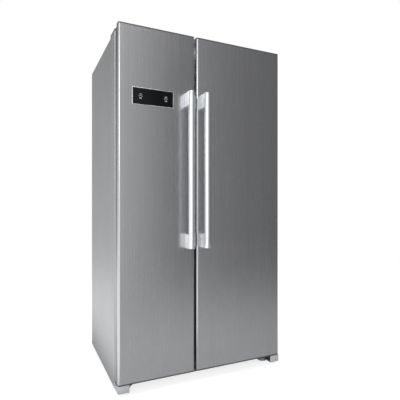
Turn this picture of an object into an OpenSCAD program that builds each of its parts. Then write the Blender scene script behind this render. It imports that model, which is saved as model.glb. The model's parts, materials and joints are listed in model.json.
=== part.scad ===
// Side by side refrigerator: freezer on the left, fresh food on the right.
// Millimetres. +Z is up, the floor is z = 0, the doors face -Y.
// The origin is on the floor, under the middle of the whole outline.

/* [Overall size] */
// Width over the side panels
width = 905; // [750:5:1090]
// Height from the floor to the top of the hinge covers
height = 1748; // [1440:2:2100]
// Depth from the door fronts to the back panel, without the handles
body_depth = 730; // [605:5:880]

/* [Doors] */
// Thickness of a door without its seal
door_t = 66; // [55:1:80]
// Thickness of the closed seal between a door and the cabinet
seal_t = 13.7; // [11:0.1:17]
// Gap between the two doors
door_gap = 11; // [9:1:14]
// Share of the width in front of the freezer
left_share = 0.434; // [0.4:0.002:0.5]
// Height of the door bottoms above the floor
door_clear = 56; // [54:1:66]
// Radius of the upright front edges
edge_r = 10; // [6:1:12]

/* [Handles] */
// How far a handle stands out of its door
handle_out = 66; // [55:1:80]
// Length of a handle
handle_len = 770; // [640:5:925]
// Width of a handle
handle_w = 34; // [28:1:38]
// Length of each mounting block of a handle
handle_foot = 68; // [56:1:82]

/* [Insulation] */
// Outer wall of the freezer
freezer_wall = 60; // [52:1:72]
// Outer wall of the fresh food side
fridge_wall = 50; // [50:1:60]
// Wall between the two compartments
mullion_w = 60; // [54:1:72]
// Wall behind the compartments
back_wall = 60; // [50:1:72]

/* [Hinges and feet] */
// Distance from a hinge pin to the side of its door
pin_in = 14; // [12:1:15]
// Distance from a hinge pin to the back of its door
pin_back = 16; // [14:1:18]
// Radius of a hinge pin
pin_r = 5; // [4:0.5:6]
// Radius of a levelling foot
foot_r = 28; // [22:1:30]
// Radius of a rear roller
roller_r = 20; // [16:1:20]

/* [Display] */
// Width of the display glass
display_w = 200; // [165:5:240]
// Height of the display glass
display_h = 75; // [62:1:90]

/* [Hidden] */
$fn = 64;

// Sides: the freezer door hinges on the left, the other door on the right
LEFT = -1;
RIGHT = 1;

// Fits and clearances
play = 0.3;        // between bodies that move past each other
pin_fit = 0.05;    // radial, pins and studs in their bores
slide_fit = 2;     // each side of a drawer
seat_fit = 0.05;   // between a piece and the face it is set on
cut = 1;           // how far a cutting solid overshoots

// Sheet and wall thicknesses
sheet = 1;
liner_t = 2.5;
plastic = 3;

// Planes from front to back
front_y = handle_out - (body_depth + handle_out) / 2;
back_y = front_y + body_depth;
face_y = front_y + door_t + seal_t + play;
pin_y = front_y + door_t - pin_back;

// Levels from the floor up
cover_h = 16;
cab_z0 = door_clear - 38;
cab_top = height - cover_h;
door_top = cab_top + 14;
step_top = cab_top - 2;      // top of a door behind its front lip
lip_d = door_t - pin_back - 18;   // depth of that lip
plate_z = door_clear - 6;    // underside of the base plate
plate_t = 2;
foam_z0 = plate_z + plate_t;

// Across
half_w = width / 2;
split_x = -half_w + left_share * width;

// Compartments
cav_z0 = 100;
cav_z1 = cab_top - 60;
cav_y1 = back_y - back_wall;
machine_d = 240;
machine_top = 260;
step_wall = 50;
step_y = back_y - machine_d - step_wall;
step_z = machine_top + step_wall;
cav_h = cav_z1 - cav_z0;

// Widths that depend on the side
function door_w(s) = (s < 0 ? split_x + half_w : half_w - split_x) - door_gap / 2;
function cav_u0(s) = s < 0 ? freezer_wall : fridge_wall;
function cav_u1(s) = door_w(s) + door_gap / 2 - mullion_w / 2;
function cav_w(s) = cav_u1(s) - cav_u0(s);
function side_x(s, u) = s * (half_w - u);

// Door furniture that reaches into the compartments. The far end of each piece stays
// inside the circle that its compartment's middle wall allows as the door swings.
bin_reach = 145 - pin_back;
bin_u0 = 64;
dyke_d = 42;
function swing_end(s, reach) =
    pin_in + sqrt(pow(cav_u1(s) - pin_in - 4, 2) + pow(face_y - pin_y, 2) - pow(reach, 2));
function bin_u1(s) = min(swing_end(s, 147), cav_u1(s) - 14);
dyke_z0 = cav_z0 + 8;
dyke_z1 = cav_z1 - 8;

// Shelves and drawers stand behind the door bins
inner_y = pin_y + 166;
shelf_t = 5;
trim_h = 14;
evap_y = cav_y1 - 68;        // front face of the evaporator cover
cover_t = 3;
duct_d = 26;
freezer_shelf_z = [for (f = [0.45, 0.59, 0.73]) cav_z0 + f * cav_h];
fridge_shelf_z = [for (f = [0.33, 0.50, 0.66, 0.82]) cav_z0 + f * cav_h];
ledge_w = 7;
ledge_h = 6;
drawer_h = 196;
lower_drawer_z = cav_z0 + play;
upper_drawer_z = step_z + play;
drawer_grip_r = 12;
bin_z = [for (f = [0.06, 0.27, 0.48, 0.69]) cav_z0 + f * cav_h];
bin_h = 105;

// Handles: both have the same height and stand close to the gap
handle_top = door_top - 293;
handle_edge = 20.5;          // from the door's free edge to the handle
bar_t = 16;

// Display, its top level with the handles
bezel_rim = 4;
display_x = split_x - 223;
display_z = handle_top - display_h / 2 - bezel_rim;

// Machine compartment
deck_z = foam_z0;
fan_r = 62;
mount_h = 14;
can_r = 74;
can_h = 128;
comp_x = half_w * 0.5;
comp_y = back_y - 122;
cond_x0 = -half_w + 60;
cond_len = half_w * 0.5;
cond_y0 = back_y - 190;
cond_w = 130;
cond_h = 150;
cond_fan_x = cond_x0 + cond_len + 34;
cond_fan_y = cond_y0 + cond_w / 2;
cond_fan_z = deck_z + 78;

// Freezer fan and evaporator
evap_x = side_x(LEFT, (cav_u0(LEFT) + cav_u1(LEFT)) / 2);
evap_fan_z = cav_z0 + 0.66 * cav_h;
evap_fan_r = 52;
fan_gap = 4;
shaft_r = 3;
shaft_d = 11;                // length of a motor shaft inside its fan

// Ice maker, hung under the freezer ceiling
ice_w = 150;
ice_d = 190;
ice_h = 118;
ice_y0 = inner_y + 12;
ice_axis_z = cav_z1 - 62;
tray_w = 96;
tray_h = 34;

// ---------- helpers ----------

// Puts a shape given in u, the distance in from the hinged side, on one side
module at_side(s) {
    translate([s * half_w, 0, 0])
        if (s > 0) mirror([1, 0, 0]) children();
        else children();
}

// A box between two opposite corners
module span(a, b) {
    translate(a) cube(b - a);
}

// An upright tray, open at the top
module open_box(a, b, t) {
    difference() {
        span(a, b);
        span([a[0] + t, a[1] + t, a[2] + t], [b[0] - t, b[1] - t, b[2] + cut]);
    }
}

// An upright can with round edges
module rounded_can(r, h, e) {
    rotate_extrude() {
        square([r - e, h]);
        translate([0, e]) square([r, h - 2 * e]);
        translate([r - e, e]) circle(e);
        translate([r - e, h - e]) circle(e);
    }
}

// A side outline given in y and z, as thick as w along x
module side_profile(points, x0, w) {
    translate([x0, 0, 0])
        rotate([90, 0, 90])
            linear_extrude(w) polygon(points);
}

// A square picture frame standing in the xz plane
module upright_ring(a, b, rim) {
    difference() {
        span(a, b);
        span([a[0] + rim, a[1] - cut, a[2] + rim], [b[0] - rim, b[1] + cut, b[2] - rim]);
    }
}

// A fan with flat, pitched blades, turning about z, bored for the shaft of its motor
module fan(r, hub_r, h, blades) {
    blade_w = r * 0.55;
    difference() {
        rounded_can(hub_r, h, 3);
        translate([0, 0, h - shaft_d]) cylinder(r = shaft_r + pin_fit, h = shaft_d + cut);
    }
    intersection() {
        translate([0, 0, -h]) cylinder(r = r, h = 3 * h);
        for (i = [0 : blades - 1])
            rotate(i * 360 / blades)
                translate([hub_r - 3, 0, h / 2])
                    rotate([24, 0, 0])
                        translate([0, -blade_w / 2, -1]) cube([r, blade_w, 2]);
    }
}

// ---------- cabinet ----------

module cabinet_shell() {
    flange = 20;
    color("silver")
    difference() {
        span([-half_w, face_y, cab_z0], [half_w, back_y, cab_top]);
        span([sheet - half_w, face_y + sheet, cab_z0 - cut],
             [half_w - sheet, back_y + cut, cab_top - sheet]);
        span([flange - half_w, face_y - cut, cab_z0 - cut],
             [half_w - flange, face_y + sheet + cut, cab_top - flange]);
        // No flange in front of the base
        span([sheet - half_w, face_y - cut, cab_z0 - cut], [half_w - sheet, face_y + 2, plate_z]);
    }
}

module back_panel() {
    bead_w = 60;
    color("gainsboro")
    difference() {
        span([sheet - half_w, back_y - sheet - 3, machine_top],
             [half_w - sheet, back_y, cab_top - sheet]);
        // Two shallow upright beads stiffen the sheet
        for (x = [-half_w / 2, half_w / 2])
            span([x - bead_w / 2, back_y - 2, machine_top + 80],
                 [x + bead_w / 2, back_y + cut, cab_top - 80]);
    }
}

foot_u = 40.5;
foot_y = front_y + 104;
boss_r = 10;
stud_r = 5;

module base_frame() {
    rail = 24;
    member_y = face_y + 6;
    color("darkgray")
    difference() {
        union() {
            span([sheet - half_w, face_y + sheet, plate_z], [half_w - sheet, back_y - 8, foam_z0]);
            // Front cross member
            span([sheet - half_w, member_y, cab_z0 + 4], [half_w - sheet, member_y + 2, plate_z]);
            for (s = [LEFT, RIGHT])
                at_side(s) {
                    span([sheet, member_y, cab_z0 + 4], [sheet + 2, back_y - 8, plate_z]);
                    translate([foot_u, foot_y, plate_z - rail - 4])
                        cylinder(r = boss_r, h = rail + 4 + plate_t / 2);
                }
        }
        for (s = [LEFT, RIGHT])
            at_side(s)
                translate([foot_u, foot_y, plate_z - rail - 4 - cut])
                    cylinder(r = stud_r + pin_fit, h = rail + 4 + cut);
    }
}

// Side outline of a compartment, grown outwards by g
function cavity_outline(g) = [
    [face_y - cut, cav_z0 - g], [step_y + g, cav_z0 - g], [step_y + g, step_z - g],
    [cav_y1 + g, step_z - g], [cav_y1 + g, cav_z1 + g], [face_y - cut, cav_z1 + g]
];

module cavity(s, g) {
    at_side(s) side_profile(cavity_outline(g), cav_u0(s) - g, cav_w(s) + 2 * g);
}

module insulation_foam() {
    color("khaki")
    difference() {
        span([sheet - half_w, face_y + sheet, foam_z0],
             [half_w - sheet, back_y - sheet - 3, cab_top - sheet]);
        span([-half_w, back_y - machine_d, foam_z0 - cut], [half_w, back_y, machine_top]);
        cavity(LEFT, liner_t);
        cavity(RIGHT, liner_t);
        // Room for the front flanges of the liners and the middle strip
        span([20 - half_w, face_y, foam_z0 - cut],
             [half_w - 20, face_y + sheet + liner_t, cab_top - 20]);
    }
}

module liner(s, shelf_z) {
    flange_end = door_w(s) + door_gap / 2;
    color("whitesmoke") {
        difference() {
            union() {
                intersection() {
                    cavity(s, liner_t);
                    span([-half_w, face_y + sheet, 0], [half_w, back_y, height]);
                }
                at_side(s)
                    span([20, face_y + sheet, foam_z0],
                         [flange_end, face_y + sheet + liner_t, cab_top - 20]);
            }
            cavity(s, 0);
        }
        at_side(s) {
            for (z = shelf_z)
                for (u = [cav_u0(s), cav_u1(s) - ledge_w])
                    span([u, inner_y + 20, z - ledge_h], [u + ledge_w, evap_y - 20, z]);
            // Rails that carry the upper drawer in front of the step
            for (u = [cav_u0(s), cav_u1(s) - ledge_w])
                span([u, inner_y + 6, step_z - ledge_h], [u + ledge_w, step_y + cut, step_z]);
        }
    }
}

module freezer_liner() {
    liner(LEFT, freezer_shelf_z);
}

module fridge_liner() {
    liner(RIGHT, fridge_shelf_z);
}

module mullion_strip() {
    strip_w = mullion_w - 6;
    color("silver")
        span([split_x - strip_w / 2, face_y, foam_z0],
             [split_x + strip_w / 2, face_y + sheet, cab_top - 20]);
}

module upper_hinges() {
    plate_end = face_y + 96;
    color("dimgray")
    for (s = [LEFT, RIGHT])
        at_side(s) {
            difference() {
                union() {
                    span([8, face_y + 2, cab_top], [68, plate_end, cab_top + 3]);
                    span([pin_in - 5, pin_y, cab_top], [pin_in + 26, face_y + 2.5, cab_top + 3]);
                    translate([pin_in, pin_y, cab_top]) cylinder(r = 9, h = 3);
                }
                for (y = [face_y + 24, face_y + 74])
                    for (u = [24, 52])
                        translate([u, y, cab_top - cut]) cylinder(r = 3.2, h = 5);
            }
            translate([pin_in, pin_y, step_top - 22]) cylinder(r = pin_r, h = 22 + 2 + 2);
        }
}

module hinge_screws() {
    color("gray")
    for (s = [LEFT, RIGHT])
        at_side(s) {
            for (y = [face_y + 24, face_y + 74])
                for (u = [24, 52])
                    translate([u, y, cab_top + 3]) rounded_can(6, 3.5, 1.5);
            for (u = [66, 88])
                translate([u, face_y + 3, door_clear - 22])
                    rotate([90, 0, 0]) rounded_can(5, 3, 1);
        }
}

arm_z = door_clear - 18;
arm_t = 4;
boss_drop = 7;
door_boss_r = 24;

module lower_hinges() {
    web = 24;
    web_u = 54;
    color("dimgray")
    for (s = [LEFT, RIGHT])
        at_side(s) {
            // Upright flange on the front cross member, and the arm under the door
            span([4, face_y + 3, cab_z0 + 6], [100, face_y + 6, plate_z - 1]);
            span([4, front_y + 8, arm_z], [web_u + 2, face_y + 4, arm_z + arm_t]);
            translate([pin_in, pin_y, arm_z]) cylinder(r = pin_r, h = door_clear + 22 - arm_z);
            translate([pin_in, pin_y, arm_z])
                cylinder(r = 11, h = door_clear - boss_drop - play - arm_z);
            // Hollow-curved web beside the foot cover
            difference() {
                span([web_u, front_y + 8, door_clear - 2 - web], [web_u + web, front_y + 44, door_clear - 2]);
                translate([web_u + web, front_y, door_clear - 2 - web])
                    rotate([-90, 0, 0]) cylinder(r = web - 1.5, h = 50);
            }
        }
}

module hinge_covers() {
    cover_end = face_y + 130;
    wide = 78;
    nose_r = 9;
    color("lightgray")
    for (s = [LEFT, RIGHT])
        at_side(s)
        difference() {
            union() {
                span([2, face_y + 2.5, cab_top], [wide, cover_end - wide / 2, cab_top + cover_h]);
                translate([2 + 38, cover_end - 38, cab_top]) cylinder(r = 38, h = cover_h);
                span([pin_in - 6.5, pin_y, cab_top + 3 + play],
                     [pin_in + 27, face_y + 3, cab_top + cover_h]);
                translate([pin_in, pin_y, cab_top + 3 + play])
                    cylinder(r = nose_r, h = cover_h - 3 - play);
            }
            span([5, face_y + 1, cab_top - cut], [wide - 3, cover_end - 26, cab_top + cover_h - plastic]);
        }
}

module foot_covers() {
    cover_w = 54;
    cover_z0 = cab_z0 + 1;
    cover_z1 = door_clear - 1;
    color("gainsboro")
    for (s = [LEFT, RIGHT])
        at_side(s)
        difference() {
            span([0, front_y + 1, cover_z0], [cover_w, face_y, cover_z1]);
            // Hollow behind the front and side walls, open towards the middle
            span([plastic, front_y + 1 + plastic, cover_z0 + plastic],
                 [cover_w + cut, face_y + 5, cover_z1 + cut]);
            // Round recess for the boss under the door
            translate([pin_in, pin_y, door_clear - boss_drop - 5])
                cylinder(r = door_boss_r + 6, h = 40);
        }
}

module levelling_foot(s) {
    at_side(s)
        translate([foot_u, foot_y, 0]) {
            color("gainsboro") rounded_can(foot_r, 14, 4);
            color("gray") cylinder(r = stud_r, h = plate_z - 2);
        }
}

module levelling_foot_left() {
    levelling_foot(LEFT);
}

module levelling_foot_right() {
    levelling_foot(RIGHT);
}

roller_u = 44;
roller_y = back_y - 60;
roller_w = 26;
axle_r = 4;

module rear_roller(s) {
    color("dimgray")
    at_side(s)
        translate([roller_u - roller_w / 2, roller_y, roller_r])
            rotate([0, 90, 0])
            difference() {
                rounded_can(roller_r, roller_w, 3);
                translate([0, 0, -cut]) cylinder(r = axle_r + pin_fit, h = roller_w + 2 * cut);
            }
}

module rear_roller_left() {
    rear_roller(LEFT);
}

module rear_roller_right() {
    rear_roller(RIGHT);
}

module roller_brackets() {
    cheek = 2.5;
    reach = roller_w / 2 + play + 0.7;
    color("darkgray")
    for (s = [LEFT, RIGHT])
        at_side(s)
            translate([roller_u, roller_y, 0]) {
                for (u = [-reach - cheek, reach])
                    span([u, -14, roller_r - 10], [u + cheek, 14, plate_z]);
                span([-reach - cheek, -14, plate_z - 3], [reach + cheek, 14, plate_z]);
                translate([-reach - cheek, 0, roller_r])
                    rotate([0, 90, 0]) cylinder(r = axle_r, h = 2 * (reach + cheek));
            }
}

module toe_grille() {
    slots = 14;
    x0 = 112 - half_w;
    x1 = half_w - 112;
    pitch = (x1 - x0 - 60) / slots;
    color("dimgray")
    difference() {
        span([x0, face_y + 3, cab_z0 + 2], [x1, face_y + 6, plate_z - 1]);
        for (i = [0 : slots - 1])
            span([x0 + 30 + (i + 0.2) * pitch, face_y, cab_z0 + 9],
                 [x0 + 30 + (i + 0.8) * pitch, face_y + 9, plate_z - 9]);
    }
}

// ---------- machine compartment ----------

mount_spots = [for (dx = [-82, 82]) for (dy = [-54, 54]) [comp_x + dx, comp_y + dy]];

module compressor() {
    foot_z = deck_z + mount_h;
    color("black")
    difference() {
        union() {
            translate([comp_x, comp_y, foot_z + 4]) rounded_can(can_r, can_h, 26);
            translate([comp_x, comp_y, foot_z + 4 + can_h * 0.5]) cylinder(r = can_r + 3, h = 5);
            span([comp_x - 98, comp_y - 68, foot_z], [comp_x + 98, comp_y + 68, foot_z + 4]);
            span([comp_x - can_r - 22, comp_y - 24, foot_z + 30],
                 [comp_x - can_r + 20, comp_y + 24, foot_z + 82]);
        }
        for (p = mount_spots)
            translate([p[0], p[1], foot_z - cut]) cylinder(r = 8, h = 8);
    }
}

module compressor_mounts() {
    color("black")
    for (p = mount_spots)
        translate([p[0], p[1], deck_z]) {
            cylinder(r = 14, h = mount_h);
            cylinder(r = 7.9, h = mount_h + 9);
        }
}

module condenser() {
    fins = 14;
    pitch = (cond_len - 20) / fins;
    tube_r = 3.5;
    rows = [for (z = [24 : 34 : cond_h - 16]) deck_z + z];
    cols = [for (y = [20, cond_w / 2, cond_w - 20]) cond_y0 + y];
    color("darkgray")
    union() {
        for (i = [0 : fins])
            span([cond_x0 + 10 + i * pitch, cond_y0, deck_z],
                 [cond_x0 + 11.5 + i * pitch, cond_y0 + cond_w, deck_z + cond_h]);
        for (y = cols)
            for (z = rows)
                translate([cond_x0, y, z]) rotate([0, 90, 0]) cylinder(r = tube_r, h = cond_len);
        for (y = cols)
            for (x = [cond_x0, cond_x0 + cond_len])
                translate([x, y, rows[0]]) cylinder(r = tube_r, h = rows[len(rows) - 1] - rows[0]);
    }
}

module condenser_fan_frame() {
    t = 22;
    x0 = cond_fan_x - t / 2;
    color("dimgray")
    union() {
        difference() {
            span([x0, cond_fan_y - 74, deck_z], [x0 + t, cond_fan_y + 74, cond_fan_z + 74]);
            translate([x0 - cut, cond_fan_y, cond_fan_z])
                rotate([0, 90, 0]) cylinder(r = fan_r + fan_gap, h = t + 2 * cut);
        }
        // Motor behind the blades, carried by three arms
        translate([x0 + t, cond_fan_y, cond_fan_z]) rotate([0, 90, 0]) rounded_can(24, 30, 3);
        translate([cond_fan_x + 9 - shaft_d + play, cond_fan_y, cond_fan_z])
            rotate([0, 90, 0]) cylinder(r = shaft_r, h = shaft_d + 8);
        for (a = [0, 120, 240])
            translate([x0 + t, cond_fan_y, cond_fan_z])
                rotate([a, 0, 0]) span([0, -4, 20], [5, 4, fan_r + fan_gap + 5]);
    }
}

module condenser_fan_blade() {
    color("white")
        translate([cond_fan_x - 9, cond_fan_y, cond_fan_z])
            rotate([0, 90, 0]) fan(fan_r, 20, 18, 5);
}

module drain_pan() {
    z0 = deck_z + mount_h + 4 + can_h + play;
    color("whitesmoke")
        open_box([comp_x - 100, comp_y - 80, z0], [comp_x + 100, comp_y + 80, z0 + 40], plastic);
}

module machine_cover() {
    rows = 7;
    cols = 9;
    x0 = 14 - half_w;
    col_w = (2 * half_w - 28 - 60) / cols;
    z0 = foam_z0 + 4;
    row_h = (machine_top - 8 - z0) / rows;
    color("dimgray")
    difference() {
        span([x0, back_y - 4, foam_z0 - 10], [-x0, back_y, machine_top]);
        for (i = [0 : cols - 1])
            for (j = [0 : rows - 1])
                span([x0 + 30 + (i + 0.12) * col_w, back_y - 9, z0 + (j + 0.25) * row_h],
                     [x0 + 30 + (i + 0.88) * col_w, back_y + cut, z0 + (j + 0.75) * row_h]);
    }
}

module control_box() {
    x0 = cond_fan_x + 28;
    x1 = comp_x - 106;
    y0 = back_y - machine_d + 4;
    color("dimgray")
    union() {
        span([x0, y0, machine_top - 62], [x1, y0 + 50, machine_top]);
        // Lid
        span([x0 + 10, y0 + 50, machine_top - 54], [x1 - 10, y0 + 54, machine_top - 6]);
    }
}

module cord_inlet() {
    x = half_w - 90;
    z = foam_z0 + 26;
    color("black")
    difference() {
        union() {
            span([x - 20, back_y - 8, z - 16], [x + 20, back_y - 4, z + 16]);
            translate([x, back_y - 8, z]) rotate([90, 0, 0]) cylinder(r = 9, h = 14);
        }
        translate([x, back_y, z]) rotate([90, 0, 0]) cylinder(r = 4.5, h = 40);
    }
}

module refrigerant_pipes() {
    tube = 3.5;
    can_side = comp_y - can_r;
    pipe_z = deck_z + mount_h + 60;
    drier_x = 20;
    color("peru")
    union() {
        // From the compressor to the filter drier
        translate([comp_x, can_side - 20, pipe_z]) rotate([-90, 0, 0]) cylinder(r = tube, h = 20);
        translate([drier_x, can_side - 20, pipe_z])
            rotate([0, 90, 0]) cylinder(r = tube, h = comp_x - drier_x);
        translate([comp_x, can_side - 20, pipe_z]) sphere(tube);
        // Filter drier, and the pipe up to the insulation
        translate([drier_x, can_side - 20, pipe_z - 50]) rounded_can(10, 110, 4);
        translate([drier_x, can_side - 20, pipe_z + 50])
            cylinder(r = tube, h = machine_top - 62 - pipe_z - 50);
    }
}

// ---------- air system ----------

module evaporator() {
    fins = 12;
    x0 = side_x(LEFT, cav_u0(LEFT) + 14);
    x1 = side_x(LEFT, cav_u1(LEFT) - 14);
    pitch = (x1 - x0 - 20) / fins;
    y0 = cav_y1 - 52;
    z0 = step_z + 70;
    h = 250;
    levels = [for (z = [25 : 40 : h - 10]) z0 + z];
    color("lightgray")
    union() {
        for (i = [0 : fins])
            span([x0 + 10 + i * pitch, y0, z0], [x0 + 11.2 + i * pitch, cav_y1 - play, z0 + h]);
        for (y = [y0 + 14, y0 + 38])
            for (z = levels)
                translate([x0, y, z]) rotate([0, 90, 0]) cylinder(r = 4, h = x1 - x0);
        for (y = [y0 + 14, y0 + 38])
            for (x = [x0, x1])
                translate([x, y, levels[0]]) cylinder(r = 4, h = levels[len(levels) - 1] - levels[0]);
    }
}

module evaporator_cover() {
    x0 = side_x(LEFT, cav_u0(LEFT) + play);
    x1 = side_x(LEFT, cav_u1(LEFT) - play);
    z0 = step_z + play;
    z1 = cav_z1 - 40;
    slot_w = x1 - x0 - 90;
    color("whitesmoke")
    difference() {
        union() {
            span([x0, evap_y, z0], [x1, evap_y + cover_t, z1]);
            span([x0, evap_y, z1 - cover_t], [x1, cav_y1 - play, z1]);
            span([x0, evap_y, z0], [x0 + cover_t, cav_y1 - play, z1]);
            span([x1 - cover_t, evap_y, z0], [x1, cav_y1 - play, z1]);
        }
        // Slots in front of the fan, and return slots at the bottom
        for (dz = [-44 : 16 : 44])
            span([evap_x - 46, evap_y - cut, evap_fan_z + dz - 3],
                 [evap_x + 46, evap_y + cover_t + cut, evap_fan_z + dz + 5]);
        for (z = [z0 + 24 : 16 : z0 + 60])
            span([x0 + 45, evap_y - cut, z], [x0 + 45 + slot_w, evap_y + cover_t + cut, z + 7]);
    }
}

module evaporator_fan_motor() {
    ring_t = 16;
    y0 = evap_y + cover_t + 6;
    color("whitesmoke")
    union() {
        difference() {
            span([evap_x - 66, y0, evap_fan_z - 66], [evap_x + 66, y0 + ring_t, evap_fan_z + 66]);
            translate([evap_x, y0 - cut, evap_fan_z])
                rotate([-90, 0, 0]) cylinder(r = evap_fan_r + fan_gap, h = ring_t + 2 * cut);
        }
        translate([evap_x, y0 + ring_t + 2, evap_fan_z])
            rotate([-90, 0, 0]) rounded_can(20, cav_y1 - play - y0 - ring_t - 2, 2);
        translate([evap_x, y0 + 15 - shaft_d + play, evap_fan_z])
            rotate([-90, 0, 0]) cylinder(r = shaft_r, h = shaft_d + 8);
        for (a = [45 : 90 : 315])
            translate([evap_x, y0 + ring_t, evap_fan_z])
                rotate([0, a, 0]) span([-3, 0, 16], [3, 6, evap_fan_r + fan_gap + 6]);
    }
}

module evaporator_fan_blade() {
    color("white")
        translate([evap_x, evap_y + cover_t + 6, evap_fan_z])
            rotate([-90, 0, 0]) fan(evap_fan_r, 16, 15, 5);
}

module fridge_air_duct() {
    mid = side_x(RIGHT, (cav_u0(RIGHT) + cav_u1(RIGHT)) / 2);
    z0 = step_z + play;
    z1 = cav_z1 - play;
    y0 = cav_y1 - duct_d;
    color("whitesmoke")
    difference() {
        span([mid - 90, y0, z0], [mid + 90, cav_y1 - play, z1]);
        span([mid - 87, y0 + plastic, z0 + plastic], [mid + 87, cav_y1, z1 - plastic]);
        for (z = [for (k = fridge_shelf_z) k + 60])
            for (x = [mid - 60, mid + 20])
                span([x, y0 - cut, z], [x + 40, y0 + plastic + cut, z + 12]);
    }
}

// ---------- shelves, drawers, lamps ----------

function shelf_back(s) = s < 0 ? evap_y - play : cav_y1 - duct_d - play;

module glass_shelves(s, levels) {
    color("azure", 0.5)
    at_side(s)
        for (z = levels)
            span([cav_u0(s) + play, inner_y + 12, z], [cav_u1(s) - play, shelf_back(s), z + shelf_t]);
}

module freezer_shelves() {
    glass_shelves(LEFT, freezer_shelf_z);
}

module fridge_shelves() {
    glass_shelves(RIGHT, fridge_shelf_z);
}

module trims(s, levels) {
    at_side(s)
        for (z = levels)
            span([cav_u0(s) + play, inner_y, z - 3], [cav_u1(s) - play, inner_y + 12, z - 3 + trim_h]);
}

module shelf_trims() {
    color("silver") {
        trims(LEFT, freezer_shelf_z);
        trims(RIGHT, fridge_shelf_z);
    }
}

module drawer(s, z0, y1) {
    u0 = cav_u0(s) + slide_fit;
    u1 = cav_u1(s) - slide_fit;
    grip_u = (u0 + u1) / 2;
    color("azure", 0.6)
    difference() {
        union() {
            open_box([u0, inner_y + 8, z0], [u1, y1, z0 + drawer_h - 14], plastic);
            span([u0, inner_y, z0], [u1, inner_y + 12, z0 + drawer_h]);
        }
        // Grip hollow in the thick front
        translate([grip_u - 60, inner_y - 3, z0 + drawer_h - 34])
            rotate([0, 90, 0]) cylinder(r = drawer_grip_r, h = 120);
    }
}

lower_drawer_y1 = step_y - 4;
upper_drawer_y1 = cav_y1 - 82;

module freezer_drawer_upper() {
    at_side(LEFT) drawer(LEFT, upper_drawer_z, upper_drawer_y1);
}

module freezer_drawer_lower() {
    at_side(LEFT) drawer(LEFT, lower_drawer_z, lower_drawer_y1);
}

module crisper_upper() {
    at_side(RIGHT) drawer(RIGHT, upper_drawer_z, upper_drawer_y1);
}

module crisper_lower() {
    at_side(RIGHT) drawer(RIGHT, lower_drawer_z, lower_drawer_y1);
}

module ice_maker_frame() {
    x0 = evap_x - ice_w / 2;
    x1 = evap_x + ice_w / 2;
    color("whitesmoke")
    difference() {
        span([x0, ice_y0, cav_z1 - ice_h], [x1, ice_y0 + ice_d, cav_z1 - play]);
        // Open at the bottom, so that turned-out ice drops into the bin
        span([x0 + plastic, ice_y0 + plastic, cav_z1 - ice_h - cut],
             [x1 - plastic, ice_y0 + ice_d - plastic, cav_z1 - play - plastic]);
        translate([evap_x, ice_y0 - cut, ice_axis_z])
            rotate([-90, 0, 0]) cylinder(r = 6 + pin_fit, h = ice_d + 2 * cut);
    }
}

module ice_tray() {
    x0 = evap_x - tray_w / 2;
    y0 = ice_y0 + plastic + 3;
    y1 = ice_y0 + ice_d - plastic - 3;
    cells = 5;
    cell = (y1 - y0 - 3) / cells;
    color("lightblue") {
        difference() {
            span([x0, y0, ice_axis_z - tray_h + 6], [x0 + tray_w, y1, ice_axis_z + 6]);
            for (i = [0 : cells - 1])
                for (x = [x0 + 4, x0 + tray_w / 2 + 2])
                    span([x, y0 + 3 + i * cell, ice_axis_z - tray_h + 10],
                         [x + tray_w / 2 - 6, y0 + (i + 1) * cell, ice_axis_z + 7]);
        }
        // Trunnions, and the knob in front that turns the tray out
        translate([evap_x, ice_y0 - 4, ice_axis_z]) rotate([-90, 0, 0]) cylinder(r = 6, h = 12);
        translate([evap_x, y1 - 2, ice_axis_z]) rotate([-90, 0, 0]) cylinder(r = 6, h = 8);
        translate([evap_x, ice_y0 - 12, ice_axis_z])
            rotate([-90, 0, 0])
            difference() {
                rounded_can(20, 11, 2);
                for (u = [-22, 6])
                    translate([u, -22, -cut]) cube([16, 44, 6]);
            }
    }
}

module ice_bin() {
    z0 = freezer_shelf_z[2] + shelf_t + play;
    color("azure", 0.6)
        open_box([evap_x - 92, ice_y0 + 4, z0], [evap_x + 92, ice_y0 + ice_d, z0 + 120], plastic);
}

module interior_lamps() {
    color("white")
    for (s = [LEFT, RIGHT])
        at_side(s) {
            mid = (cav_u0(s) + cav_u1(s)) / 2;
            span([mid - 50, face_y + 60, cav_z1 - 14], [mid + 50, face_y + 100, cav_z1 - play]);
        }
}

// ---------- doors ----------

// Plan of a door: round front edges, square back, pulled in by g
module door_plan(w, g, depth) {
    r = edge_r - g;
    translate([0, front_y]) {
        translate([g, g + r]) square([w - 2 * g, depth - g - r]);
        translate([g + r, g]) square([w - 2 * g - 2 * r, r + 1]);
        for (u = [g + r, w - g - r])
            translate([u, g + r]) circle(r);
    }
}

module door_column(w, g, depth, z0, z1) {
    translate([0, 0, z0]) linear_extrude(z1 - z0) door_plan(w, g, depth);
}

skin_d = door_t - 8;         // how far the skin wraps back
cap_edge = 6;                // part of an end cap that shows
plug_z0 = door_clear + 30;
plug_z1 = step_top - 30;

// Everything behind the lip and above a level
module behind_lip(z) {
    span([-cut, front_y + lip_d, z], [width, front_y + door_t + cut, door_top + cut]);
}

module door_skin(s) {
    w = door_w(s);
    color("silver")
    at_side(s)
    difference() {
        door_column(w, 0, skin_d, door_clear + cap_edge, door_top - cap_edge);
        door_column(w, sheet, skin_d + 2, door_clear, door_top);
        behind_lip(step_top - cap_edge);
    }
}

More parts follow.
